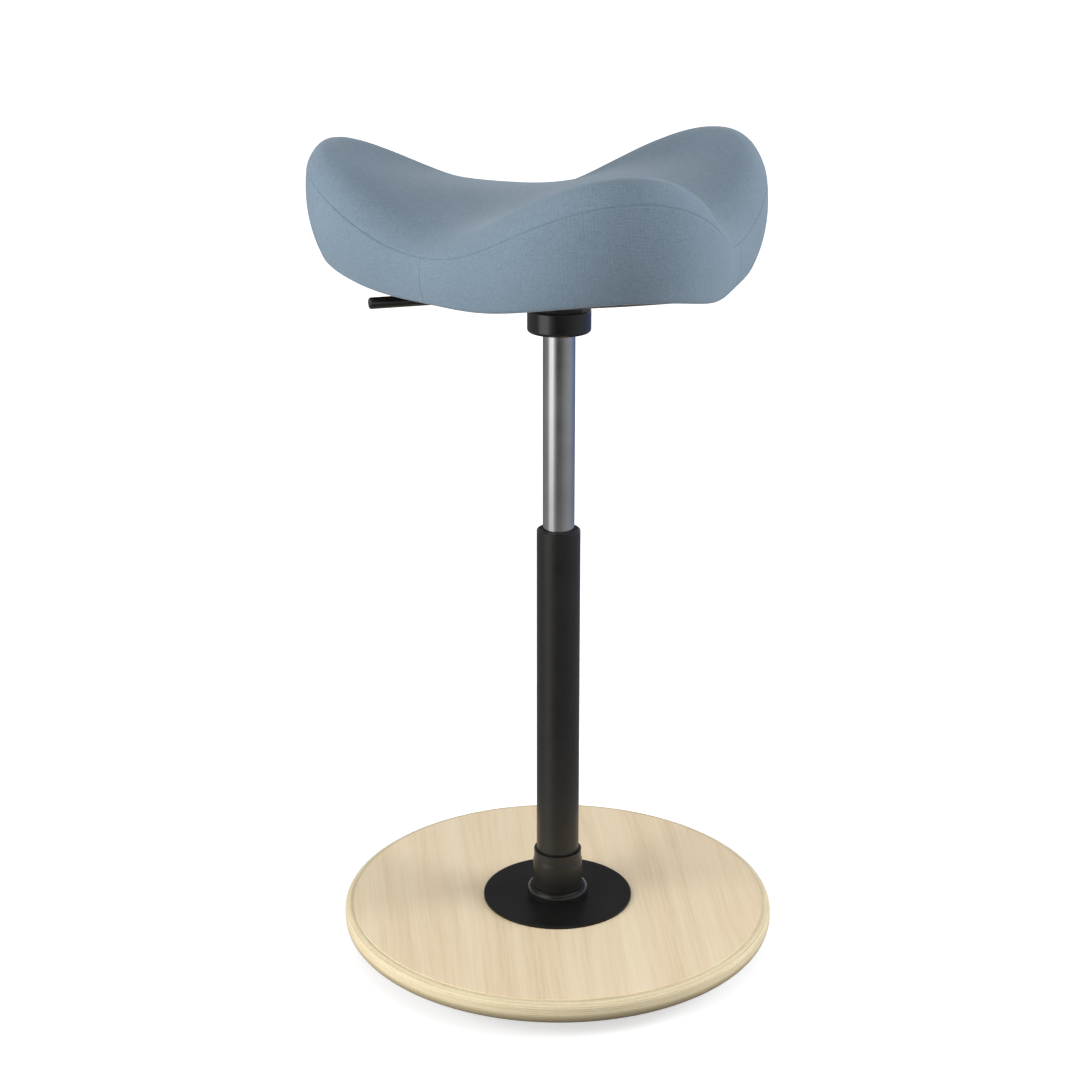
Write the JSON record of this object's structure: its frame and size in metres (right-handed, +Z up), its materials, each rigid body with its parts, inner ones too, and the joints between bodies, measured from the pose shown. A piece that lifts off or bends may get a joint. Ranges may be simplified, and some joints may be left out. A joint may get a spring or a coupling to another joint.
{
  "type": "perch stool",
  "caption": "Height-adjustable perch stool: three-lobed saddle seat in woven fabric on a gas spring column, with a round plywood foot that rocks on a rubber ring.",
  "frame": {"origin": "where the column's axis meets the floor", "axes": "+Z up the column; -Y is the pictured side, with the release lever towards -X"},
  "size_m": [0.4238, 0.4252, 0.7523],
  "materials": {
    "plywood": "clear satin lacquer",
    "veneer": "clear satin lacquer, straight grain",
    "black_paint": "semi-gloss powder coat",
    "zinc_steel": "zinc plated",
    "chrome": "polished",
    "black_plastic": "gloss moulded",
    "bush_plastic": "moulded",
    "rubber": "matt",
    "seat_fabric": "plain woven wool, dusty blue",
    "foam": "moulded foam",
    "shell_wood": "raw moulded plywood",
    "underside": "fine grained"
  },
  "bodies": {
    "base": {"tilt_ring": "rubber", "ring_screws": "zinc_steel", "base_disc": "plywood", "top_veneer": "veneer", "flange_plate": "black_paint", "flange_studs": "zinc_steel", "base_washers": "zinc_steel", "base_nuts": "zinc_steel", "socket_sleeve": "black_paint", "weld_bead": "black_paint", "outer_tube": "black_paint", "tube_floor": "zinc_steel", "guide_bush": "bush_plastic", "lower_race": "zinc_steel"},
    "ball_ring": {"bearing_cage": "bush_plastic", "bearing_balls": "zinc_steel"},
    "rod_group": {"upper_race": "zinc_steel", "piston_rod": "zinc_steel", "clip_washer": "zinc_steel", "retaining_clip": "zinc_steel", "rubber_bumper": "rubber", "piston": "zinc_steel", "piston_seal": "rubber", "piston_nut": "zinc_steel"},
    "seat": {"gas_cylinder": "chrome", "cylinder_gland": "zinc_steel", "taper_hub": "black_paint", "hub_collar": "black_plastic", "seat_plate": "black_paint", "plate_screws": "zinc_steel", "shell_tnuts": "zinc_steel", "lever_bracket": "black_paint", "lever_pin": "zinc_steel", "seat_shell": "shell_wood", "foam_pad": "foam", "top_cover": "seat_fabric", "front_band": "seat_fabric", "right_band": "seat_fabric", "left_band": "seat_fabric", "underside_cover": "underside", "cover_screws": "black_plastic"},
    "lever": {"release_lever": "black_paint", "lever_grip": "black_plastic"},
    "button": {"release_button": "zinc_steel"}
  },
  "joints": [
    {"name": "seat_swivel", "type": "hinge", "parent": "base", "child": "rod_group", "pos_m": [0, 0, 0.05], "axis": [0, 0, 1], "continuous": true},
    {"name": "bearing_roll", "type": "hinge", "parent": "base", "child": "ball_ring", "pos_m": [0, 0, 0.05], "axis": [0, 0, 1], "continuous": true},
    {"name": "height", "type": "slide", "parent": "rod_group", "child": "seat", "axis": [0, 0, 1], "range_m": [-0.17, 0.08]},
    {"name": "lever_tip", "type": "hinge", "parent": "seat", "child": "lever", "pos_m": [-0.03971, -0.01367, 0.627], "axis": [-0.3256, 0.9455, 0], "range_deg": [0, 3], "stiffness_Nm_per_rad": 4, "springref_deg": -1.15},
    {"name": "button_press", "type": "slide", "parent": "seat", "child": "button", "axis": [0, 0, 1], "range_m": [-0.0024, 0]}
  ],
  "couplings": [
    {"joint": "bearing_roll", "follows": "seat_swivel", "ratio": 0.5},
    {"joint": "button_press", "follows": "lever_tip", "m_per_rad": -0.042}
  ]
}
